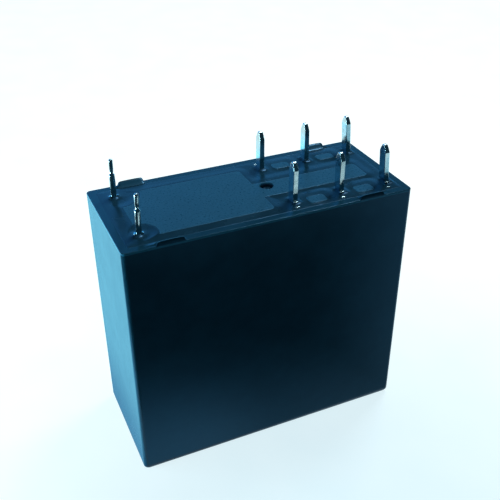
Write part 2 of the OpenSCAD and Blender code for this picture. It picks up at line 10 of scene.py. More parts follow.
import bpy
import numpy as np
from bpy.props import FloatProperty, FloatVectorProperty, PointerProperty
from mathutils import Matrix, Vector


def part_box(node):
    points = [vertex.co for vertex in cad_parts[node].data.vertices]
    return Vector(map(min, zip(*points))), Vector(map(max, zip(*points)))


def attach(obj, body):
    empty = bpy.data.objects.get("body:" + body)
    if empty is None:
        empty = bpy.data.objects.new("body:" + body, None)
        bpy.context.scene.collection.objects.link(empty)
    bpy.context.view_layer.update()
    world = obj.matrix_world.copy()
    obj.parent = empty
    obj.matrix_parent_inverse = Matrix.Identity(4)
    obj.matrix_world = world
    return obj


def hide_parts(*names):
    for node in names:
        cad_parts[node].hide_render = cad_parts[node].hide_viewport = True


bl_info = {
    "name": "Sealed Relay",
    "version": (1, 0, 0),
    "blender": (4, 5, 0),
    "location": "View3D > Sidebar > Relay",
    "description": "Builds the looks of a sealed relay around its packed CAD solids",
    "category": "Object",
}

MM = 0.001
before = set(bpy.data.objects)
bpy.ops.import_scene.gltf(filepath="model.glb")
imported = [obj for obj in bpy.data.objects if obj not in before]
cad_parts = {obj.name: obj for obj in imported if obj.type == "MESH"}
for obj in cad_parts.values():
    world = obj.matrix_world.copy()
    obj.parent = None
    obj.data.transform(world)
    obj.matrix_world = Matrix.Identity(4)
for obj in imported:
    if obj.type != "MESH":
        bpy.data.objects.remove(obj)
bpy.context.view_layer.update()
SIDES = (("front", -1.0), ("back", 1.0))


def box_mm(node):
    """Lowest and highest corner of a CAD node in millimetres."""
    low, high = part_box(node)
    return np.array(low) / MM, np.array(high) / MM


COVER_LOW, COVER_HIGH = box_mm("cover")
RESIN_LOW, RESIN_HIGH = box_mm("sealing_resin")
RIM = 26.3  # height of the cover's rim, under its tabs
BASE_FLOOR = RESIN_LOW[2] - 2.0  # underside of the base's plate, which is 2 mm thick
COIL_TO_CONTACT = 15.24  # from the coil pins to the first blades: six steps of the 2.54 mm grid
COIL_X, ROW_Y, _ = sum(box_mm("coil_terminal_back")) / 2
COM_X = sum(box_mm("com_terminal_back"))[0] / 2
PITCH = COM_X - (COIL_X + COIL_TO_CONTACT)
CONTACTS = ("nc", "com", "no")  # normally closed, common, normally open
CONTACT_X = (COM_X - PITCH, COM_X, COM_X + PITCH)
QUARTER = math.pi / 2


def linear(code):
    """sRGB hex code to linear RGBA: each channel through the sRGB curve."""
    parts = np.array([int(code[i : i + 2], 16) for i in (1, 3, 5)]) / 255.0
    curve = np.where(parts <= 0.04045, parts / 12.92, ((parts + 0.055) / 1.055) ** 2.4)
    return tuple(float(c) for c in curve) + (1.0,)


def size(name, text, millimetres):
    """A length that a user may change, given in millimetres."""
    return FloatProperty(
        name=name, description=text, default=millimetres * MM, subtype="DISTANCE", unit="LENGTH"
    )


def tint(name, text, code):
    """A colour that a user may change, given as an sRGB hex code."""
    rgb = linear(code)[:3]
    return FloatVectorProperty(
        name=name, description=text, default=rgb, subtype="COLOR", size=3, min=0, max=1
    )


class RelayCoverSizes(bpy.types.PropertyGroup):
    wall: size("Wall", "Thickness of the side walls", 0.8)
    end: size("Closed end", "Thickness of the closed end", 0.9)
    edge: size("Upright edges", "Radius of the upright edges", 0.4)
    foot: size("Lower edges", "Radius of the edges round the closed end", 0.7)
    lip: size("Rim edge", "Radius of the rim's outer edge", 0.07)
    tab_length: size("Tab length", "Length of a stand-off tab", 2.65)
    tab_inset: size("Tab inset", "Distance from the cover's end to a tab's middle", 4.45)
    tab_height: size("Tab height", "Height of a stand-off tab above the rim", 0.42)
    sink: size("Sink", "How far the moulded walls are drawn in at their middle", 0.03)


class RelayFaceSizes(bpy.types.PropertyGroup):
    pad_rise: size("Pad rise", "Height of the pads above the base's sealed level", 0.22)
    riser: size("Riser", "Width of the soft step round a pad", 0.13)
    fill: size("Fill", "Height of the poured resin above the base's sealed level", 0.135)
    film: size("Film", "Distance over which the resin climbs to the level of the pads", 1.1)
    creep: size("Creep", "Height to which the resin climbs a terminal", 0.2)
    vent: size("Vent", "Radius of the vent's recess", 0.69)


class RelayTerminalSizes(bpy.types.PropertyGroup):
    blade_width: size("Blade width", "Width of a contact blade's pin", 1.0)
    blade_thickness: size("Blade thickness", "Thickness of the contact strip", 0.5)
    blade_edge: size("Blade edge", "Radius of the strip's sheared edges", 0.04)
    taper: size("Taper", "Length of the taper at a blade's tip", 0.75)
    tip_width: size("Tip width", "Width of a blade at its tip", 0.55)
    ridge: size("Shoulder ridge", "Radius of the ridges where shoulders show in the resin", 0.07)
    coil_width: size("Coil pin", "Width of a coil pin's square wire", 0.54)
    coil_tip: size("Coil pin tip", "Width of a coil pin at its coined tip", 0.4)
    coil_end: size("Coil pin end", "Length of the coined tip", 1.6)
    coil_shoulder: size("Coil pin shoulder", "Reach of the coined shoulders at its foot", 0.2)


class RelayColours(bpy.types.PropertyGroup):
    cover: tint("Cover", "Moulded cover", "#133f53")
    pads: tint("Pads", "Grained pads of the base", "#2a6484")
    resin: tint("Resin", "Sealing resin", "#173f53")
    tin: tint("Tin", "Tin plate on the terminals", "#c2e0e6")
    floor: tint("Floor", "Floor and backdrop", "#f4ffff")
    # painted shadow: the floor's colour close to the relay
    shade: tint("Floor shade", "Floor close to the relay", "#d3e7ee")
    curtain: tint("Curtain", "Dark curtain that only reflections show", "#1a323e")
    backdrop: tint("Back cloth", "Blue cloth that only reflections show", "#58b4f8")


def grid_quads(rows, cols, wrap=False):
    """Quads between neighbours in a grid; wrap joins the last column to the first."""
    r, c = np.meshgrid(np.arange(rows - 1), np.arange(cols if wrap else cols - 1), indexing="ij")
    here = r * cols + c
    side = r * cols + (c + 1) % cols
    return np.stack([here, side, side + cols, here + cols], -1).reshape(-1, 4)


def closed_tube(loops):
    """Points and faces of a tube of closed loops, each end shut by a fan to its loop's middle.

    loops is an array (rows, columns, 3)."""
    rows, cols = loops.shape[:2]
    points = np.concatenate([loops.reshape(-1, 3), loops[[0, -1]].mean(1)])
    quads = grid_quads(rows, cols, wrap=True)
    k = np.arange(cols)
    n = (k + 1) % cols
    first = np.stack([np.full(cols, rows * cols), n, k], -1)
    last = np.stack([np.full(cols, rows * cols + 1), k, n], -1) + [0, *[(rows - 1) * cols] * 2]
    return points, quads, np.concatenate([first, last])


def volume(points, quads, tris):
    """Six times the signed volume: the sum over triangles of a . (b x c)."""
    t = np.concatenate([tris, quads[:, [0, 1, 2]], quads[:, [0, 2, 3]]])
    a, b, c = points[t[:, 0]], points[t[:, 1]], points[t[:, 2]]
    return float((a * np.cross(b, c)).sum())


def linked(name, data):
    """A new object with that data, in the scene."""
    made = bpy.data.objects.new(name, data)
    bpy.context.scene.collection.objects.link(made)
    return made


def new_object(name, points, faces, material):
    """An object with a mesh of those points, in metres, and faces, all of one material."""
    mesh = bpy.data.meshes.new(name)
    mesh.from_pydata(np.asarray(points).tolist(), [], faces)
    mesh.materials.append(material)
    return linked(name, mesh)


def add_piece(name, points, quads, tris, material, slot, body="root", nodes=()):
    """Makes the mesh from millimetre points, turns its faces outwards and sets it on its body."""
    if volume(points, quads, tris) < 0:
        quads, tris = quads[:, ::-1], tris[:, ::-1]
    piece = new_object(name, points * MM, quads.tolist() + tris.tolist(), material)
    piece.data.shade_smooth()
    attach(piece, body)
    if nodes:
        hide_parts(*nodes)


def round_rect_loop(half_x, half_y, radius, xs, ys, corner):
    """Closed loop round a rectangle with arcs at its corners.

    The straight stretches take their samples from xs and ys, shares from -1 to 1 of the straight
    length, and each corner takes the angles in corner."""
    a, b = half_x - radius, half_y - radius
    parts = []
    for k, (sx, sy) in enumerate(((1, -1), (1, 1), (-1, 1), (-1, -1))):
        turn = corner + QUARTER * (k - 1)
        parts.append(np.stack([sx * a + radius * np.cos(turn), sy * b + radius * np.sin(turn)], -1))
        sign = 1 if k in (0, 3) else -1
        end, long = [sx * half_x + 0 * ys, sign * b * ys], [sign * a * xs, sy * half_y + 0 * xs]
        parts.append(np.stack(long if k % 2 else end, -1))
    return np.concatenate(parts)


def tab_profile(x, sizes):
    """Share of a stand-off tab's height at x: a steep end, a small shoulder and a flat top."""
    half = sizes.tab_length / MM / 2
    middle = COVER_HIGH[0] - sizes.tab_inset / MM
    inside = half - np.abs(np.abs(x) - middle)
    return np.interp(inside, [0, 0.07, 0.14, 0.24, 0.4, 0.9], [0, 0.5, 0.78, 0.9, 0.96, 1])


def cover_surface(sizes):
    """The cover as one closed shell.

    A profile of inset e and height z runs from the middle of the closed end over the lower edge (a
    quarter circle), up the wall, over the rim and down inside. At each step a rounded rectangle,
    drawn in by e, is the loop. The walls are drawn in at their middle by sink, as a product of
    parabolas across and up the wall. The rim's rows rise by the tab profile times a share that is
    full at the outer edge and falls towards the resin."""
    half_x, half_y = COVER_HIGH[0], COVER_HIGH[1]
    tall = sizes.tab_height / MM
    rim_z = COVER_HIGH[2] - tall
    wall, end, edge, foot, lip, sink = (
        getattr(sizes, k) / MM for k in ("wall", "end", "edge", "foot", "lip", "sink")
    )
    tab_x = half_x - sizes.tab_inset / MM
    dense = np.arange(tab_x - 1.62, tab_x + 1.62, 0.05)  # fine steps where a tab rises
    free_x, free_y = half_x - edge, half_y - edge
    beside = 0.04  # a point this near each rounded edge lets the flat shade flat
    inner = np.linspace(-dense[0], dense[0], 36)[18:-1]
    outer = np.linspace(dense[-1], free_x - 0.2, 5)[1:]
    xs = np.concatenate([inner, dense, outer, [free_x - beside]]) / free_x
    xs = np.concatenate([-xs[::-1], xs])
    ys = np.linspace(0.2 - free_y, free_y - 0.2, 26)
    ys = np.concatenate([[beside - free_y], ys, [free_y - beside]]) / free_y
    corner = np.linspace(0, QUARTER, 9)

    # Each row: inset, height, corner radius, share of the tab, and whether the wall is drawn in
    rows = []
    quarter = np.linspace(0, QUARTER, 10)
    for t in quarter:
        inset = foot * (1 - math.sin(t))
        rows.append((inset, foot * (1 - math.cos(t)), edge + 0.4 * inset, 0, 0))
    top = rim_z - lip
    for z in (foot + beside, *np.linspace(foot + 0.3, top - 0.3, 22), top - 0.03):
        rows.append((0, z, edge, 0, 1))
    for t in quarter:
        drop = lip * (1 - math.sin(t))
        rows.append((lip * (1 - math.cos(t)), rim_z - drop, edge, t / QUARTER, 0))
    rim = [(lip + 0.02, 0.98), (0.2, 0.93), (0.3, 0.78), (0.42, 0.56), (0.56, 0.32), (0.68, 0.16)]
    for e, share in (*rim, (wall - 0.06, 0.08)):
        rows.append((e, rim_z, edge, share, 0))
    sharp = edge - 0.1  # corner radius inside the cover
    rows += [(wall - 0.02, rim_z, sharp, 0.06, 0), (wall, rim_z - 0.02, sharp, 0.06, 0)]
    rows += [(wall, rim_z - 0.3, sharp, 0, 0), (wall, end + 0.3, sharp, 0, 0)]
    rows.append((wall + 0.3, end, edge, 0, 0))

    loops = []
    for e, z, radius, tab, face in rows:
        loop = round_rect_loop(half_x - e, half_y - e, radius, xs, ys, corner)
        x, y = loop[:, 0], loop[:, 1]
        if face:
            bow = 1 - (2 * z / rim_z - 1) ** 2
            for a, half_a, b, half_b in ((y, half_y, x, half_x), (x, half_x, y, half_y)):
                on_wall = np.where(np.abs(a) > half_a - 1e-6, np.sign(a), 0)
                a -= on_wall * sink * bow * np.clip(1 - (b / half_b) ** 2, 0, 1)
        on_long_side = np.abs(y) > half_y - e - 1e-6
        height = z + np.where(on_long_side, tab * tall * tab_profile(x, sizes), 0)
        loops.append(np.stack([x, y, height], -1))
    under = [loops[0] * [s, s, 1] for s in (0.15, 0.5, 0.85)]
    inside = [loops[-1] * [s, s, 1] for s in (0.85, 0.5, 0.15)]
    return closed_tube(np.stack(under + loops + inside))


def rect_distance(x, y, cx, cy, half_x, half_y, radius):
    """Signed distance to a rounded rectangle: negative inside."""
    qx = np.abs(x - cx) - half_x + radius
    qy = np.abs(y - cy) - half_y + radius
    outside = np.hypot(np.maximum(qx, 0), np.maximum(qy, 0))
    return outside + np.minimum(np.maximum(qx, qy), 0) - radius


def pad_distance(x, y, strip, islands):
    """Signed distance to the outline of the raised pads: negative on a pad.

    The big pad and the strip are joined by a minimum, the cut-outs round the coil pins are taken
    off by a maximum, and the four small pads are added. strip gives the strip's middle and half
    width in Y, and the big pad's lowest Y where that is lower; islands gives, for each side, the
    shift in X, the middle in Y and the half width."""
    left, right = COIL_X + 0.1, CONTACT_X[0] - 2.3
    half_y = RESIN_HIGH[1] - 1.3
    low, high = min(-0.1 - half_y, strip[2]), half_y - 0.1
    d = np.inf
    for x0, x1, middle, half in (
        (left, right, (low + high) / 2, (high - low) / 2),
        (right - 1, CONTACT_X[2] - 1.1, *strip[:2]),
    ):
        part = rect_distance(x, y, (x0 + x1) / 2, middle, (x1 - x0) / 2, half, 0.35)
        d = np.minimum(d, part)
    for reach, pin_y in ((1.9, -ROW_Y), (2.4, ROW_Y)):
        d = np.maximum(d, reach - np.hypot(x - COIL_X, y - pin_y))
    for cx in (CONTACT_X[0] + COM_X) / 2, (COM_X + CONTACT_X[2]) / 2:
        for shift, middle, half in islands:
            d = np.minimum(d, rect_distance(x, y, cx + shift, middle, 0.9, half, 0.3))
    return d


def solid_pads(x, y):
    """Distance to the pads of the base's solid."""
    middle = ROW_Y + 0.05
    return pad_distance(x, y, (-0.28, 1.525, 0), [(0, -middle, 0.575), (0, middle, 0.575)])


def bare_pads(x, y):
    """Distance to the part of the pads that the resin leaves bare.

    The resin has run over their back edges, and at the front the pads reach a little further."""
    return pad_distance(x, y, (-0.66, 1.42, -4.5), [(-0.43, -4.36, 0.62), (-0.42, 3.5, 0.56)])


def step(t):
    """Smooth step from 0 to 1: 3 t squared less 2 t cubed."""
    t = np.clip(t, 0, 1)
    return t * t * (3 - 2 * t)


def ripple(x, y, length, seed):
    """Slow waves: a sum of sines in fixed directions with that wavelength, about -1 to 1."""
    rng = np.random.default_rng(seed)
    total = 0
    for _ in range(7):
        angle, phase = rng.uniform(0, 2 * math.pi, 2)
        scale = rng.uniform(0.7, 1.5) * 2 * math.pi / length
        total += np.sin(scale * (x * math.cos(angle) + y * math.sin(angle)) + phase)
    return total / 3.5


def shell_below(x, y, z, floor, keep):
    """Closes a height field cut to the cells whose four corners are all kept.

    The same cells lie flat at floor, and a wall stands under each edge that no two cells share."""
    rows, cols = x.shape
    n = rows * cols
    whole = keep[:-1, :-1] & keep[1:, :-1] & keep[:-1, 1:] & keep[1:, 1:]
    top = grid_quads(rows, cols)[whole.ravel()][:, [0, 3, 2, 1]]
    edges = np.concatenate([top[:, [k, (k + 1) % 4]] for k in range(4)])
    rim = edges[~np.isin(edges @ [n, 1], edges @ [1, n])]
    wall = np.concatenate([rim[:, ::-1], rim + n], -1)
    points = np.concatenate([np.stack([x, y, h], -1).reshape(-1, 3) for h in (z, 0 * z + floor)])
    faces = np.concatenate([top, top[:, ::-1] + n, wall])
    used, faces = np.unique(faces, return_inverse=True)
    return points[used], faces.reshape(-1, 4), np.zeros((0, 3), int)


def resin_surface(sizes):
    """The resin as a height field over the cover's opening.

    Height is the level, less a small fall to the rim, plus a film that climbs to the pads' level by
    a smooth step and lies over their back edges, plus a climb at each terminal; fall and climb go
    as exp(-distance / length). Under the bare pads it drops out of sight."""
    x1, y1, level = RESIN_HIGH + [0, 0, sizes.fill / MM]
    lap = 0.06  # how far the edge runs into the cover's wall
    sides = np.linspace(-x1 - lap, x1 + lap, 345), np.linspace(-y1 - lap, y1 + lap, 142)
    x, y = np.meshgrid(*sides, indexing="ij")
    film = (sizes.pad_rise - sizes.fill) / MM - 0.008
    film *= step(1 - solid_pads(x, y) * MM / sizes.film)
    wall = -rect_distance(x, y, 0, 0, x1, y1, 0.3)
    fall, wave = 0.035, 0.002
    z = level + film - fall * np.exp(-np.maximum(wall, 0) / 0.25) + wave * ripple(x, y, 3.2, 4)
    for cy in (-ROW_Y, ROW_Y):
        climbs = [(np.hypot(x - COIL_X, y - cy) - 0.3, 0.2)]
        climbs += [(rect_distance(x, y, cx, cy, 0.25, 0.5, 0.05), 0.17) for cx in CONTACT_X]
        for d, length in climbs:
            z += sizes.creep / MM * np.exp(-np.maximum(d, 0) / length)
    z -= 0.9 * step((-bare_pads(x, y) - 0.08) / 0.1)
    return shell_below(x, y, z, RESIN_LOW[2], x < np.inf)


def pads_surface(sizes):
    """The pads as a height field cut to their outline.

    Height steps down outside the outline over the riser's width and ends below the resin, so the
    cut edge is out of sight. The vent is a bowl, let in by a smooth step of the distance from its
    middle, with a melted plug: a low smooth step whose outline and top waver by sines."""
    level = RESIN_HIGH[2]
    rise, riser, vent_r = sizes.pad_rise / MM, sizes.riser / MM, sizes.vent / MM
    cell = 0.06
    x, y = np.meshgrid(np.arange(-12.6, 12.4, cell), np.arange(-5.4, 4.9, cell), indexing="ij")
    d = bare_pads(x, y)
    z = level + rise * step((riser - d) / riser) - 0.25 * step((d - riser + 0.03) / 0.1)
    vent_x, vent_y = x - CONTACT_X[0] + 1.15, y + 0.1
    r, a = np.hypot(vent_x, vent_y), np.arctan2(vent_y, vent_x)
    bowl_depth, plug_height = 0.52, 0.26
    bowl = step((vent_r + 0.02 * np.sin(3 * a + 1) - r) / 0.1)
    plug = plug_height * step((0.5 + 0.06 * np.sin(2 * a + 0.6) - r) / 0.2)
    plug += 0.04 * np.sin(9 * x) * np.sin(8 * y + 1) * (r < 0.5)
    z = z + bowl * (plug - bowl_depth) + 0.012 * np.exp(-(((r - vent_r - 0.05) / 0.05) ** 2))
    return shell_below(x, y, z, level - 0.9, d < riser + 0.12)


def rounded_section(width, thick, edge):
    """Section of a sheared strip: a rectangle with arcs at its corners, one row per step.

    The arcs are never larger than 0.4 of either side. Beside each arc one more point lies on the
    flat, so that the flat shades flat. Returns the offsets across the width and through the
    thickness."""
    arc = np.linspace(0, QUARTER, 5)
    angle = np.concatenate([arc[[0, *range(5), 4]] + k * QUARTER for k in range(4)])
    first, last = np.eye(7)[[0, 6]]
    back_w, back_t = np.concatenate([last, first] * 2), np.concatenate([first, last] * 2)
    sign_w, sign_t = np.repeat([1, -1, -1, 1], 7), np.repeat([1, 1, -1, -1], 7)
    r = np.minimum(edge, np.minimum(width, thick) * 0.4)[:, None]
    half_w, half_t = width[:, None] / 2 - r, thick[:, None] / 2 - r
    across = sign_w * (half_w - back_w * np.minimum(0.03, half_w)) + r * np.cos(angle)
    through = sign_t * (half_t - back_t * np.minimum(0.03, half_t)) + r * np.sin(angle)
    return across, through


def strip_sweep(path, normal, width, thick, centre_y, edge):
    """Carries the rounded section along a path in the XZ plane: its width lies along Y and its
    thickness along the path's normal."""
    across, through = rounded_section(width, thick, edge)
    x = path[:, :1] + normal[:, :1] * through
    z = path[:, 1:] + normal[:, 1:] * through
    return np.stack([x, centre_y[:, None] + across, z], -1)


def bent_path(corners, radii):
    """A path in the XZ plane through corners, with a circular arc of the given radius at each inner
    corner. Returns its points and the distance run at each."""
    corners = np.array(corners, float)
    points = [corners[:1]]
    for k in range(1, len(corners) - 1):
        p, a, b = corners[[k, k - 1, k + 1]]
        u, v = (a - p) / np.linalg.norm(a - p), (b - p) / np.linalg.norm(b - p)
        half = math.acos(float(np.clip(u @ v, -1, 1))) / 2
        cut = radii[k - 1] / math.tan(half)
        centre = p + (u + v) / np.linalg.norm(u + v) * radii[k - 1] / math.sin(half)
        start, stop = p + u * cut - centre, p + v * cut - centre
        turn = math.atan2(start[0] * stop[1] - start[1] * stop[0], float(start @ stop))
        t = np.linspace(0, 1, 9)[:, None] * turn
        points.append(centre + start * np.cos(t) + np.array([-start[1], start[0]]) * np.sin(t))
    coarse = np.concatenate([*points, corners[-1:]])
    steps = np.linalg.norm(np.diff(coarse, axis=0), axis=1)
    return coarse, np.concatenate([[0], np.cumsum(steps)])


def place_on(coarse, run, s):
    """Points of a path at the distances s, and unit normals square to its chords there."""

    def at(d):
        return np.stack([np.interp(d, run, coarse[:, k]) for k in (0, 1)], -1)

    t = at(s + 0.02) - at(s - 0.02)
    t /= np.linalg.norm(t, axis=1)[:, None]
    return at(s), np.stack([-t[:, 1], t[:, 0]], -1)


def tip_shape(depth, sizes):
    """Width and thickness of a blade at a depth below its tip: a half round, then the taper."""
    tip, full = sizes.tip_width / MM, sizes.blade_width / MM
    taper, thick = sizes.taper / MM, sizes.blade_thickness / MM
    r = tip / 2
    round_end = 2 * np.sqrt(np.maximum(r * r - np.maximum(r - depth, 0) ** 2, 1e-6))
    round_end = np.where(depth > r, full, round_end)
    width = np.minimum(round_end, np.interp(depth, [0.5 * r, taper], [tip, full]))
    bevel = 0.14
    lost = 0.5 * (1 - np.sqrt(np.maximum(1 - (1 - depth / bevel) ** 2, 0))) * (depth < bevel)
    return width, thick * np.interp(depth, [0, taper], [0.76, 1]) * (1 - lost)


def blade_surface(pin_x, side, node, sizes, lean):
    """A contact terminal: pin, foot and inner blade as one bent strip.

    The strip runs down the pin, turns under the base's floor and runs down the blade. Its width and
    its middle in Y pass smoothly from those of the pin to those of the blade."""
    low, high = box_mm(node)
    thick, taper = sizes.blade_thickness / MM, sizes.taper / MM
    tip_z = high[2]
    y_low, y_high = sorted((abs(low[1]), abs(high[1])))
    blade_w, blade_y = y_high - y_low, (y_low + y_high) / 2
    straight = node.startswith("com")
    corners, radii = [(pin_x, tip_z), (pin_x, low[2])], []
    if not straight:
        far_x = high[0] - thick / 2 if high[0] - pin_x > pin_x - low[0] else low[0] + thick / 2
        foot_z = BASE_FLOOR - thick / 2
        corners[1:] = [(pin_x, foot_z), (far_x, foot_z), (far_x, low[2])]
        radii = [thick / 2 + 0.01, thick]
    coarse, run = bent_path(corners, radii)
    total = run[-1]
    r = sizes.tip_width / MM / 2
    tip = r * (1 - np.cos(np.linspace(0.05, 1, 9) * QUARTER))
    near = np.concatenate([np.linspace(r, taper - 0.03, 8)[1:], [taper, taper + 0.03, taper + 0.4]])
    shoulder = tip_z - BASE_FLOOR
    pin = np.linspace(near[-1], shoulder - 0.35, 14)[1:]
    bend = np.linspace(shoulder - 0.35, shoulder + 0.9, 22)[1:]
    corner = 0.6  # radius of the round corners at the blade's inner end
    rest = np.linspace(bend[-1], total - corner, 46)[1:]
    end = total - corner * np.cos(np.linspace(0, 1, 8) * QUARTER)[1:-1]
    s = np.concatenate([tip, near, pin, bend, rest, end, [total - 0.002]])
    path, normal = place_on(coarse, run, np.clip(s, 0.0, total))
    width, depth = tip_shape(s, sizes)
    change = step((s - shoulder + 0.1) / (0.05 if straight else 0.3))
    width = width + (blade_w - width) * change
    centre = ROW_Y + (blade_y - ROW_Y) * change
    if not straight:
        left = corner - np.clip(total - s, 0, corner)
        width = width - 2 * (corner - np.sqrt(np.maximum(corner**2 - left**2, 0)))
    level = RESIN_HIGH[2]
    out = np.clip((path[:, 1] - level) / (tip_z - level), 0, 1) * (s < shoulder)
    loops = strip_sweep(path, normal, width, depth, side * centre, sizes.blade_edge / MM)
    return closed_tube(bend_pin(loops, out[:, None], lean))


def bend_pin(loops, out, lean):
    """Bends a pin as it was knocked: a small set just over the resin, then a straight lean.

    out is the share of the pin's height over the resin. lean holds the set in X, and the reach of
    the tip in X and in Y."""
    foot, tip_x, tip_y = lean
    shift = foot * step(out * 12) + (tip_x - foot) * out
    return loops + np.stack(np.broadcast_arrays(shift, tip_y * out, 0 * out), -1)


def shoulder_ridges(sizes, places):
    """Small ridges of tin where the blades' shoulders come through the resin.

    Each is a round bar along X: the angle runs round it, and its radius falls towards both ends as
    the root of 1 less the fifth power of the share of its half length. places holds the middle of
    each and its half length."""
    r = sizes.ridge / MM
    along, angle = np.linspace(-1, 1, 15), np.linspace(0, 2 * math.pi, 16, endpoint=False)
    fall = np.sqrt(np.clip(1 - np.abs(along) ** 5, 0.02, 1))
    parts = []
    for x, y, z, half in places:
        ring = [
            x + half * along[:, None] + 0 * angle,
            y - 0.1 * half * along[:, None] + r * fall[:, None] * np.cos(angle),
            z + r * fall[:, None] * np.sin(angle),
        ]
        parts.append(closed_tube(np.stack(ring, -1)))
    points, quads, tris = zip(*parts)
    starts = np.arange(len(parts))[:, None, None] * len(points[0])
    return np.concatenate(points), *(np.concatenate(f + starts) for f in (quads, tris))


def coil_pin_surface(node, sizes, lean, turn):
    """A coil pin of drawn square wire: its rounded section carried down from the tip.

    The width follows a circle at the tip, stays narrow along the coined end, draws in at a neck and
    widens over a short ledge to the full wire. Just over the resin two small coined shoulders widen
    it by a flat-topped bump. The wire is turned about its own axis by turn, in degrees."""
    low, high = box_mm(node)
    wide, tip, end = (getattr(sizes, k) / MM for k in ("coil_width", "coil_tip", "coil_end"))
    x0, y0 = (low[0] + high[0]) / 2, (low[1] + high[1]) / 2
    tip_z, level = high[2], RESIN_HIGH[2]
    shoulder = tip_z - level - 0.34
    depth = np.concatenate([
        tip / 2 * (1 - np.cos(np.linspace(0.05, 1, 8) * QUARTER)),
        np.linspace(tip / 2, end - 0.12, 6)[1:],
        end + np.array([-0.08, -0.05, 0, 0.04, 0.08, 0.12, 0.3]),
        np.linspace(end + 0.6, shoulder - 0.3, 5),
        np.linspace(shoulder - 0.25, shoulder + 0.25, 16),
        np.linspace(tip_z - level + 0.3, tip_z - low[2], 8),
    ])
    round_end = np.sqrt(np.maximum(tip**2 / 4 - np.maximum(tip / 2 - depth, 0) ** 2, 1e-6)) * 2
    depths = [tip / 2, 0.6 * end, end - 0.12, end, end + 0.05, end + 0.1]
    widths = [tip, tip, tip * 0.75, wide * 0.9, wide * 0.98, wide]
    width = np.where(depth < tip / 2, round_end, np.interp(depth, depths, widths))
    width = np.where(depth > tip_z - level + 0.2, high[0] - low[0], width)
    bump = 2 * sizes.coil_shoulder / MM * np.exp(-(((depth - shoulder) / 0.07) ** 4))
    across, through = rounded_section(width, width, 0.2)
    c, s = math.cos(math.radians(turn)), math.sin(math.radians(turn))
    x = (c * through - s * across) * (1 + bump / width)[:, None]
    y = s * through + c * across
    z = np.broadcast_to((tip_z - depth)[:, None], across.shape)
    out = np.clip((z - level) / (tip_z - level), 0, 1)
    return closed_tube(bend_pin(np.stack([x0 + x, y0 + y, z], -1), out, lean))


RGBA = {"data_type": "RGBA"}
MULTIPLIED = {"data_type": "RGBA", "blend_type": "MULTIPLY"}
SMOOTH = {"interpolation_type": "SMOOTHSTEP"}
SPAN = {"_1": 0.35, "_2": 0.65}  # most of a noise's values lie between these two


def add_node(tree, kind, out=0, settings=None, **inputs):
    """Adds a node with its settings, gives each input a value or a link, and returns one output."""
    made = tree.nodes.new("ShaderNode" + kind)
    for key, value in (settings or {}).items():
        setattr(made, key, value)
    for key, value in inputs.items():
        socket = made.inputs[int(key[1:]) if key[0] == "_" else key.replace("_", " ")]
        if isinstance(value, bpy.types.NodeSocket):
            tree.links.new(value, socket)
        else:
            socket.default_value = value
    return made.outputs[out] if made.outputs else None


def blank_material(name):
    """An empty node material: the material, its tree and its object coordinates."""
    material = bpy.data.materials.new(name)
    material.use_nodes = True
    material.node_tree.nodes.clear()
    return material, material.node_tree, add_node(material.node_tree, "TexCoord", "Object")


def per_mm(size_mm):
    """Scale of a noise whose grains are that many millimetres apart, in metre coordinates."""
    return 1.0 / (size_mm * MM)


def shade(colour, factor=1.0):
    """A colour as RGBA, made lighter or darker by the factor."""
    return tuple(min(1.0, float(c) * factor) for c in tuple(colour)[:3]) + (1.0,)


def clouded(tree, where, tones, cloud_mm, roughness, relief, depth_mm, strength, **inputs):
    """Finishes a material whose tone and roughness follow one cloud, with relief as its bump.

    tones holds the darker and the lighter colour, and roughness its least and greatest value."""
    cloud = add_node(tree, "TexNoise", Vector=where, Scale=per_mm(cloud_mm), Detail=3.0)
    tone = add_node(tree, "MapRange", Value=cloud, **SPAN)
    low, high = roughness
    surface = add_node(
        tree, "BsdfPrincipled",
        Base_Color=add_node(tree, "Mix", 2, RGBA, _0=tone, _6=tones[0], _7=tones[1]),
        Roughness=add_node(tree, "MapRange", Value=cloud, **SPAN, _3=low, _4=high),
        Normal=add_node(tree, "Bump", Height=relief, Distance=depth_mm * MM, Strength=strength),
        **inputs,
    )
    add_node(tree, "OutputMaterial", Surface=surface)


def graded(tree, where, way, start, stop, low=0.0, high=1.0):
    """A share that goes from low to high by a smooth step along a direction.

    It follows the dot product of the place with way, from start to stop in metres."""
    run = add_node(tree, "VectorMath", "Value", {"operation": "DOT_PRODUCT"}, _0=where, _1=way)
    ends = {"_1": start, "_2": stop, "_3": low, "_4": high}
    return add_node(tree, "MapRange", "Result", SMOOTH, Value=run, **ends)


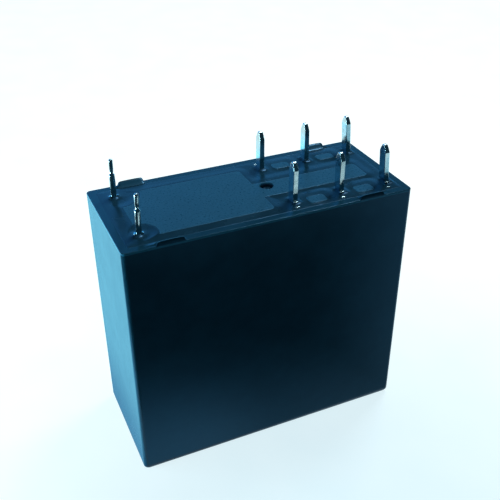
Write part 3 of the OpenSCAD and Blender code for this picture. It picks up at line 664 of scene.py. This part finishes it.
def pbt_moulded(colour):
    """Polybutylene terephthalate, moulded against a finely spark-eroded die.

    To the eye it is a satin blue-black: the fine grain scatters light that grazes it, the walls
    show slow waves where they shrank, and a paler band under the rim is a painted highlight along
    its edge. The grain is 0.03 mm on the real one and 0.1 mm here."""
    material, tree, where = blank_material("pbt_moulded")
    fine = add_node(tree, "TexNoise", Vector=where, Scale=per_mm(0.1), Detail=2.0)
    slow = add_node(tree, "TexNoise", Vector=where, Scale=per_mm(9.0), Detail=0.0)
    cloud = add_node(tree, "TexNoise", Vector=where, Scale=per_mm(2.6), Detail=4.0)
    tone = add_node(tree, "MapRange", Value=cloud, **SPAN)
    waves = add_node(tree, "Bump", Height=slow, Distance=0.2 * MM, Strength=0.1)
    high = add_node(tree, "SeparateXYZ", "Z", Vector=where)
    # painted highlight: a band just under the rim, 3.5 times lighter, stands for light caught along
    # the rim's edge
    wear_and_painted_highlight = add_node(
        tree, "Math", 0, {"operation": "MULTIPLY"},
        _0=add_node(tree, "MapRange", Value=high, _1=(RIM - 0.28) * MM, _2=(RIM - 0.18) * MM),
        _1=add_node(tree, "MapRange", Value=high, _1=RIM * MM, _2=(RIM - 0.06) * MM),
    )
    dark, light = shade(colour, 0.92), shade(colour, 1.1)
    plain = add_node(tree, "Mix", 2, RGBA, _0=tone, _6=dark, _7=light)
    surface = add_node(
        tree, "BsdfPrincipled",
        Base_Color=add_node(tree, "Mix", 2, RGBA, _0=wear_and_painted_highlight, _6=plain, _7=shade(colour, 3.5)),
        Roughness=add_node(tree, "MapRange", Value=cloud, **SPAN, _3=0.19, _4=0.23),
        Normal=add_node(
            tree, "Bump", Height=fine, Distance=0.015 * MM, Strength=0.35, Normal=waves
        ),
        IOR=1.5, Specular_Tint=linear("#58c0ff"),
        Sheen_Weight=0.35, Sheen_Roughness=0.4, Sheen_Tint=linear("#58b4dc"),
    )
    add_node(tree, "OutputMaterial", Surface=surface)
    return material


def pbt_grained(colour):
    """The same plastic, moulded against a coarser spark-eroded face.

    To the eye the pads are a dull, paler blue with a sandy speckle. Below their level, where the
    vent was melted shut, painted shade makes them nearly black. The grain is 0.1 mm on the real
    one and 0.2 mm here, so that it shows."""
    material, tree, where = blank_material("pbt_grained")
    sand = add_node(tree, "TexNoise", Vector=where, Scale=per_mm(0.2), Detail=3.0, Roughness=0.75)
    cloud = add_node(tree, "TexNoise", Vector=where, Scale=per_mm(2.4), Detail=3.0)
    speck = add_node(tree, "MapRange", Value=sand, _1=0.32, _2=0.68)
    patch = add_node(tree, "MapRange", Value=cloud, _1=0.3, _2=0.7, _4=0.4)
    dark, light = shade(colour, 0.68), shade(colour, 1.4)
    grain = add_node(tree, "Mix", 2, RGBA, _0=speck, _6=dark, _7=light)
    wear_and_painted_highlight = add_node(tree, "Mix", 2, RGBA, _0=patch, _6=grain, _7=shade(colour, 0.8))
    # painted shade: below the pads' level, round the vent's recess, the colour falls to 0.15 of the
    # pads' colour
    high = add_node(tree, "SeparateXYZ", "Z", Vector=where)
    level = add_node(tree, "MapRange", Value=high, _1=(RIM - 0.14) * MM, _2=(RIM + 0.06) * MM)
    surface = add_node(
        tree, "BsdfPrincipled",
        Base_Color=add_node(tree, "Mix", 2, RGBA, _0=level, _6=shade(colour, 0.15), _7=wear_and_painted_highlight),
        Roughness=add_node(tree, "MapRange", Value=sand, **SPAN, _3=0.26, _4=0.36),
        Normal=add_node(tree, "Bump", Height=sand, Distance=0.04 * MM, Strength=0.25),
        IOR=1.5, Specular_Tint=linear("#60c0ff"),
        Sheen_Weight=0.1, Sheen_Roughness=0.5, Sheen_Tint=linear("#2fa0e0"),
    )
    add_node(tree, "OutputMaterial", Surface=surface)
    return material


def epoxy_cured(colour):
    """Epoxy, poured and cured in an oven.

    To the eye it is one dark pool with a soft gloss that creeps up whatever it touches, with faint
    waves about 1.5 mm long."""
    material, tree, where = blank_material("epoxy_cured")
    slow = add_node(tree, "TexNoise", Vector=where, Scale=per_mm(1.5), Detail=2.0)
    clouded(
        tree, where, (shade(colour, 0.85), shade(colour, 1.12)), 2.6, (0.24, 0.29), slow, 0.06, 0.2,
        IOR=1.5, Specular_Tint=linear("#58b8ff"),
    )
    return material


def tin_plated(colour):
    """Bright tin plate over copper alloy, rolled as strip and sheared.

    To the eye it is a white metal with a clouded gloss and fine draw lines along each terminal,
    0.02 mm apart on the real one and 0.12 mm here."""
    material, tree, where = blank_material("tin_plated")
    drawn = add_node(tree, "Mapping", Vector=where, Scale=(1, 1, 0.1))
    lines = add_node(tree, "TexNoise", Vector=drawn, Scale=per_mm(0.12), Detail=2.0)
    tones = shade(colour, 0.8), shade(colour)
    clouded(tree, where, tones, 0.5, (0.1, 0.2), lines, 0.01, 0.3, Metallic=1.0)
    return material


def plain_finish(name, code, roughness, metallic, size_mm, depth_mm, ior):
    """A finish of the mechanism: one colour with clouds and a grain of a real size."""
    material, tree, where = blank_material(name)
    fine = add_node(tree, "TexNoise", Vector=where, Scale=per_mm(size_mm), Detail=3.0)
    tones = shade(linear(code), 0.86), shade(linear(code), 1.06)
    ends = roughness - 0.06, roughness + 0.06
    clouded(
        tree, where, tones, 6 * size_mm, ends, fine, depth_mm, 0.3, Metallic=metallic, IOR=ior
    )
    return material


def enamelled_wire():
    """Enamelled copper wire, wound in close turns.

    To the eye it is a coppery barrel with fine bands round it. The turns are 0.1 mm apart on the
    real one and 0.25 mm here, so that they show."""
    material, tree, where = blank_material("enamelled_wire")
    turns = add_node(
        tree, "TexWave", "Fac", {"wave_type": "BANDS", "bands_direction": "Z"},
        Vector=where, Scale=per_mm(0.25) / 20 * math.pi, Distortion=0.3, Detail=1.0,
    )
    clouded(
        tree, where, (linear("#8a3c17"), linear("#b5602c")), 1.5, (0.3, 0.42), turns, 0.1, 0.6,
        Metallic=0.7, Coat_Weight=0.5, Coat_Roughness=0.15,
    )
    return material


class RELAY_OT_cover(bpy.types.Operator):
    """Draws the moulded cover"""

    bl_idname = "relay.cover"
    bl_label = "Cover"

    def execute(self, context):
        scene = context.scene
        plastic = pbt_moulded(scene.relay_colours.cover)
        shape = cover_surface(scene.relay_cover)
        add_piece("cover_shell", *shape, plastic, "cover_plastic", nodes=("cover",))
        return {"FINISHED"}


class RELAY_OT_face(bpy.types.Operator):
    """Draws the sealing resin and the grained pads of the base"""

    bl_idname = "relay.face"
    bl_label = "Terminal face"

    def execute(self, context):
        scene = context.scene
        sizes, colours = scene.relay_face, scene.relay_colours
        epoxy, plastic = epoxy_cured(colours.resin), pbt_grained(colours.pads)
        add_piece("resin_pool", *resin_surface(sizes), epoxy, "resin", nodes=("sealing_resin",))
        add_piece("base_pads", *pads_surface(sizes), plastic, "base_plastic")
        dress("base", plastic)
        return {"FINISHED"}


# How each terminal was knocked, in mm: the set over the resin in X, then the tip's reach in X and Y
LEANS = {
    "nc_front": (-0.14, -0.14, 0),
    "com_front": (-0.28, -0.3, 0.03),
    "no_front": (-0.33, -0.64, -0.1),
    "nc_back": (-0.04, -0.03, 0),
    "com_back": (-0.06, -0.1, 0),
    "no_back": (-0.16, -0.46, -0.12),
    "coil_front": (0.08, 0.19, 0.05),
    "coil_back": (-0.05, -0.02, -0.1),
}
TURNS = {"front": 0, "back": -25}  # of the coil pins about their own axes, in degrees


class RELAY_OT_terminals(bpy.types.Operator):
    """Draws the coil pins and the contact terminals"""

    bl_idname = "relay.terminals"
    bl_label = "Terminals"

    def execute(self, context):
        scene = context.scene
        sizes = scene.relay_terminals
        tin = tin_plated(scene.relay_colours.tin)
        for word, side in SIDES:
            node = f"coil_terminal_{word}"
            shape = coil_pin_surface(node, sizes, LEANS[f"coil_{word}"], TURNS[word])
            add_piece(f"coil_pin_{word}", *shape, tin, "tin_plate", nodes=(node,))
            for kind, x in zip(CONTACTS, CONTACT_X):
                node = f"{kind}_terminal_{word}"
                shape = blade_surface(x, side, node, sizes, LEANS[f"{kind}_{word}"])
                add_piece(f"{kind}_blade_{word}", *shape, tin, "tin_plate", nodes=(node,))
        high, low = RESIN_HIGH[2] + 0.28, RESIN_HIGH[2] + 0.14
        half = 0.27  # half the length of a ridge; the one at the back is shorter
        places = [(CONTACT_X[0] - 0.22, 4.85, low, 0.12)]
        for kind, x, shift in zip(CONTACTS, CONTACT_X, (0.28, 0.5, 0.55)):
            places.append((x + LEANS[f"{kind}_front"][0], -4.42, high, half))
            places.append((x - shift, -5.1, low, half))
        add_piece("blade_shoulders", *shoulder_ridges(sizes, places), tin, "tin_plate")
        return {"FINISHED"}


def dress(node, material):
    """Gives a CAD node its finish through its material slots."""
    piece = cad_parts[node]
    if not piece.material_slots:
        piece.data.materials.append(material)
    for place in piece.material_slots:
        place.material = material


class RELAY_OT_mechanism(bpy.types.Operator):
    """Gives the coil, the magnet and the contacts inside their finishes"""

    bl_idname = "relay.mechanism"
    bl_label = "Mechanism"

    def execute(self, context):
        springs, rivets, *heads = (
            [f"{kind}_{word}" for word, _ in SIDES]
            for kind in (
                "moving_spring", "spring_rivet", "nc_contact", "no_contact", "moving_contact"
            )
        )
        magnet = ["iron_core", "yoke", "armature"]
        # Name, colour, roughness, metallic, grain and its depth in mm, IOR, nodes
        finishes = (
            # Nylon, moulded and uncoloured: a waxy, slightly yellow white
            ("nylon_natural", "#d9d2bd", 0.45, 0, 0.2, 0.02, 1.53, ["coil_bobbin"]),
            # Nylon, moulded with white pigment: paler and a little smoother
            ("nylon_white", "#e9e6dc", 0.4, 0, 0.2, 0.02, 1.53, ["push_card"]),
            # Polyester film tape: glossy amber with slow wrinkles
            ("polyester_tape", "#d0a52c", 0.25, 0, 0.6, 0.01, 1.6, ["coil_tape"]),
            # Soft iron, stamped and zinc plated: cloudy grey
            ("zinc_plated_iron", "#b4b8bc", 0.32, 1, 0.15, 0.01, 1.5, magnet),
            # Stainless steel strip, cold rolled: pale and even
            ("stainless_strip", "#c9cdd0", 0.22, 1, 0.1, 0.005, 1.5, ["hinge_spring"]),
            # Phosphor bronze strip, cold rolled: warm brown with a soft gloss
            ("phosphor_bronze", "#cf9560", 0.25, 1, 0.1, 0.005, 1.5, springs),
            # Silver alloy, headed cold: bright and nearly white
            ("silver_alloy", "#e8e6df", 0.18, 1, 0.08, 0.005, 1.5, sum(heads, [])),
            # Brass, upset as a rivet: yellow with a soft gloss
            ("brass_rivet", "#c9a45c", 0.28, 1, 0.1, 0.005, 1.5, rivets),
        )
        for *look, nodes in finishes:
            material = plain_finish(*look)
            for node in nodes:
                dress(node, material)
        dress("coil_winding", enamelled_wire())
        return {"FINISHED"}


def facing(back, place, roll=0.0):
    """Matrix of a thing at a place that looks along minus back, held level and then rolled."""
    back = np.array(back, float) / np.linalg.norm(back)
    across = np.cross([0, 0, 1.0], back)
    across /= np.linalg.norm(across)
    up = np.cross(back, across)
    c, s = math.cos(roll), math.sin(roll)
    axes = c * across + s * up, c * up - s * across, back, place
    return Matrix([[axis[k] for axis in axes] for k in range(3)] + [[0, 0, 0, 1]])


def soft_light(name, place, height, wide, tall, power, code):
    """A soft box at a place, turned to a height in the relay's middle, all in metres."""
    data = bpy.data.lights.new(name, "AREA")
    data.shape = "RECTANGLE"
    data.size, data.size_y = wide, tall
    data.energy, data.color = power, linear(code)[:3]
    lamp = linked(name, data)
    lamp.matrix_world = facing(np.subtract(place, (0, 0, height)), place)
    lamp.visible_camera = False


def seen_mix(tree, plain, seen):
    """Mixes two shaders: the second where the camera or a glossy or transmitted ray looks."""
    look = add_node(tree, "LightPath", "Is Camera Ray")
    for kind in ("Glossy", "Transmission"):
        ray = add_node(tree, "LightPath", f"Is {kind} Ray")
        look = add_node(tree, "Math", 0, {"operation": "MAXIMUM"}, _0=look, _1=ray)
    return add_node(tree, "MixShader", _0=look, _1=plain, _2=seen)


def pale_floor(near, far):
    """Heavy matt paper: a pale sheet with a faint mottle of its pulp.

    To the eye it is nearly white, with a painted shadow that makes it a little deeper in tone
    round the relay, and it keeps the relay's shadow from the lamps."""
    material, tree, where = blank_material("matt_paper")
    pulp = add_node(tree, "TexNoise", Vector=where, Scale=per_mm(9.0), Detail=3.0)
    tone = add_node(tree, "MapRange", Value=pulp, _1=0.3, _2=0.7)
    # painted shadow: the paper's colour runs from the floor shade round the relay out to the floor
    # colour
    round_relay = add_node(tree, "Mapping", Vector=where, Location=(0, 0.3, 0), Scale=(14, 14, 0))
    away = add_node(tree, "VectorMath", "Value", {"operation": "LENGTH"}, _0=round_relay)
    reach = add_node(tree, "MapRange", "Result", SMOOTH, Value=away, _1=0.0, _2=0.8)
    sheet = add_node(tree, "Mix", 2, RGBA, _0=reach, _6=shade(near), _7=shade(far))
    mottle = add_node(tree, "Mix", 2, MULTIPLIED, _0=tone, _6=sheet, _7=linear("#fafcfd"))
    bounce = add_node(tree, "BsdfDiffuse", Color=linear("#5c686c"))
    lamp_part = add_node(tree, "BsdfDiffuse", Color=linear("#9aa4a8"))
    glow = add_node(tree, "Emission", Color=mottle, Strength=1.0)
    lit = add_node(tree, "AddShader", _0=lamp_part, _1=glow)
    add_node(tree, "OutputMaterial", Surface=seen_mix(tree, bounce, lit))
    return material


def curtain_surface(radius, start, stop, low, high):
    """A curved curtain: an arc of that radius behind the relay, carried up from low to high."""
    angle = np.linspace(math.radians(start), math.radians(stop), 48)
    arc = np.stack([0.02 + radius * np.cos(angle), 0.072 + radius * np.sin(angle)], -1)
    points = np.concatenate([np.insert(arc, 2, z, axis=1) for z in (low, high)])
    return points, grid_quads(2, 48).tolist()


def flat_sheet(height, *rects):
    """Level rectangles at a height, each given by its least and greatest X and Y, in metres."""
    points = [(x, y, height) for a, b, c, d in rects for x, y in ((a, c), (b, c), (b, d), (a, d))]
    return points, np.arange(4 * len(rects)).reshape(-1, 4).tolist()


def reflected_only(name, points, faces, material):
    """A sheet of the stage that only reflections show."""
    sheet = new_object(name, points, faces, material)
    for ray in ("camera", "diffuse", "shadow", "volume_scatter"):
        setattr(sheet, f"visible_{ray}", False)
    return sheet


def reflection_sheet_glow(name, light, dark=None, way=(0, 0, 1), start=0, stop=1, power=1.0):
    """A glowing sheet, hung or laid flat, painting reflections: deeper in tone along one direction.

    The painted reflection is graded from light to dark along the way, with a faint cloud."""
    material, tree, where = blank_material(name)
    cloud = add_node(tree, "TexNoise", Vector=where, Scale=per_mm(30.0), Detail=2.0)
    reflection_grade = graded(tree, where, way, start, stop)
    light, dark = shade(light), shade(dark or light)
    tone = add_node(tree, "Mix", 2, RGBA, _0=reflection_grade, _6=light, _7=dark)
    uneven = add_node(tree, "Mix", 2, MULTIPLIED, _0=cloud, _6=tone, _7=linear("#e8e8e8"))
    glow = add_node(tree, "Emission", Color=uneven, Strength=power)
    add_node(tree, "OutputMaterial", Surface=glow)
    return material


def front_reflection_glow(dark, light):
    """A glowing card laid in front of the relay, painting the reflection in the cover's front face.

    Two gradings leave it dark in the middle: one along Y towards the relay, weaker right of its
    coil end, and one across to the right, where the slant follows the line of sight over the card.
    The lighter of the two shows."""
    material, tree, where = blank_material("front_reflection_glow")
    near = add_node(
        tree, "Math", 0, {"operation": "MULTIPLY"},
        _0=graded(tree, where, (-0.17, 1, 0), -0.022, -0.004),
        _1=graded(tree, where, (1, 0, 0), -0.009, 0.003, 1.0, 0.5),
    )
    right = graded(tree, where, (1, 0.66, 0), -0.003, 0.022, 0.0, 0.75)
    either = add_node(tree, "Math", 0, {"operation": "MAXIMUM"}, _0=near, _1=right)
    tone = add_node(tree, "Mix", 2, RGBA, _0=either, _6=dark, _7=light)
    glow = add_node(tree, "Emission", Color=tone, Strength=1.2)
    add_node(tree, "OutputMaterial", Surface=glow)
    return material


class RELAY_OT_stage(bpy.types.Operator):
    """Sets the floor, the cloths that only reflections show, the lamps and the camera"""

    bl_idname = "relay.stage"
    bl_label = "Stage"

    def execute(self, context):
        scene = context.scene
        colours = scene.relay_colours
        half = 1.5
        paper = pale_floor(colours.shade, colours.floor)
        floor = new_object("floor", *flat_sheet(0, (-half, half, -half, half)), paper)
        dark = reflection_sheet_glow("dark_cloth", colours.curtain)
        blue = reflection_sheet_glow(
            "blue_cloth", colours.backdrop, colours.curtain, (0.38, 0, 1), 0.184, 0.194
        )
        pale = reflection_sheet_glow(
            "left_sheet", linear("#8ce4ff"), linear("#60a0c4"), (1, 0, 0), -0.0176, -0.0146, 2.05
        )
        bright = reflection_sheet_glow("blue_patch", linear("#54b4ff"), power=1.4)
        grey = reflection_sheet_glow("grey_cloth", linear("#3c5868"))
        card = front_reflection_glow(shade(colours.curtain), linear("#b4ebff"))
        beside = (
            (-0.15, -0.004, -0.09, -0.046),
            (-0.15, -0.038, -0.046, 0.024),
            (-0.038, -0.0141, -0.046, -0.014),
        )
        low = 0.0004  # height of the cloths that lie on the floor
        # Each sheet glows and only reflections show it: painted reflections on the relay, the dark
        # ones painted shade such as that under the camera
        # Name, shape in metres, cloth
        sheets = (
            ("curtain", curtain_surface(0.165, 180, 360, 0.0, 0.26), dark),
            ("backcloth", curtain_surface(0.165, 0, 180, 0.001, 0.42), blue),
            ("dark_cloth", flat_sheet(low, *beside), dark),
            ("left_sheet", flat_sheet(low, (-0.0379, -0.01453, -0.007, 0.059)), pale),
            ("blue_patch", curtain_surface(0.16, 83, 140, 0.05, 0.187), bright),
            ("grey_cloth", flat_sheet(low, (-0.004, 0.09, -0.09, -0.058)), grey),
            ("front_card", flat_sheet(0.0005, (-0.014, 0.07, -0.0495, -0.0065)), card),
        )
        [reflected_only(name, *shape, cloth) for name, shape, cloth in sheets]

        world = bpy.data.worlds.new("studio")
        scene.world = world
        world.use_nodes = True
        tree = world.node_tree
        tree.nodes.clear()
        plain = add_node(tree, "Background", Color=linear("#f0fcff"), Strength=0.12)
        seen = add_node(tree, "Background", Color=linear("#f4feff"), Strength=0.98)
        add_node(tree, "OutputWorld", Surface=seen_mix(tree, plain, seen))

        soft_light("softbox_left", (-0.095, 0.017, 0.013), 0.013, 0.06, 0.024, 0.1, "#c8f4ff")
        soft_light("softbox_top", (0.085, 0.05, 0.2), 0.015, 0.05, 0.05, 0.145, "#f4fdff")

        data = bpy.data.cameras.new("camera")
        data.lens, data.sensor_width = 54.156, 36
        data.clip_start, data.clip_end = 0.001, 10
        camera = linked("camera", data)
        turn, tilt, roll = (math.radians(v) for v in (-23.856, 32.139, -0.268))
        back = math.sin(turn) * math.cos(tilt), -math.cos(turn) * math.cos(tilt), math.sin(tilt)
        camera.matrix_world = facing(back, [v * MM for v in (-26.093, -59.108, 60.040)], roll)
        scene.camera = camera
        scene.view_settings.view_transform = "Standard"
        return {"FINISHED"}


class RELAY_PT_panel(bpy.types.Panel):
    """Lists the pieces of the relay"""

    bl_idname = "RELAY_PT_panel"
    bl_label = "Relay"
    bl_space_type = "VIEW_3D"
    bl_region_type = "UI"
    bl_category = "Relay"

    def draw(self, context):
        for kind in OPERATORS:
            self.layout.operator(kind.bl_idname)
        for key in GROUPS:
            group = getattr(context.scene, key)
            for name in group.bl_rna.properties.keys():
                if name not in ("rna_type", "name"):
                    self.layout.prop(group, name)


GROUPS = {
    "relay_cover": RelayCoverSizes,
    "relay_face": RelayFaceSizes,
    "relay_terminals": RelayTerminalSizes,
    "relay_colours": RelayColours,
}
OPERATORS = (RELAY_OT_cover, RELAY_OT_face, RELAY_OT_terminals, RELAY_OT_mechanism, RELAY_OT_stage)


def register():
    for kind in (*GROUPS.values(), *OPERATORS, RELAY_PT_panel):
        bpy.utils.register_class(kind)
    for key, kind in GROUPS.items():
        setattr(bpy.types.Scene, key, PointerProperty(type=kind))


def unregister():
    for key in GROUPS:
        delattr(bpy.types.Scene, key)
    for kind in (RELAY_PT_panel, *reversed(OPERATORS), *reversed(list(GROUPS.values()))):
        bpy.utils.unregister_class(kind)


def main():
    register()
    bpy.ops.relay.cover()
    bpy.ops.relay.face()
    bpy.ops.relay.terminals()
    bpy.ops.relay.mechanism()
    bpy.ops.relay.stage()


if __name__ == "__main__":
    main()
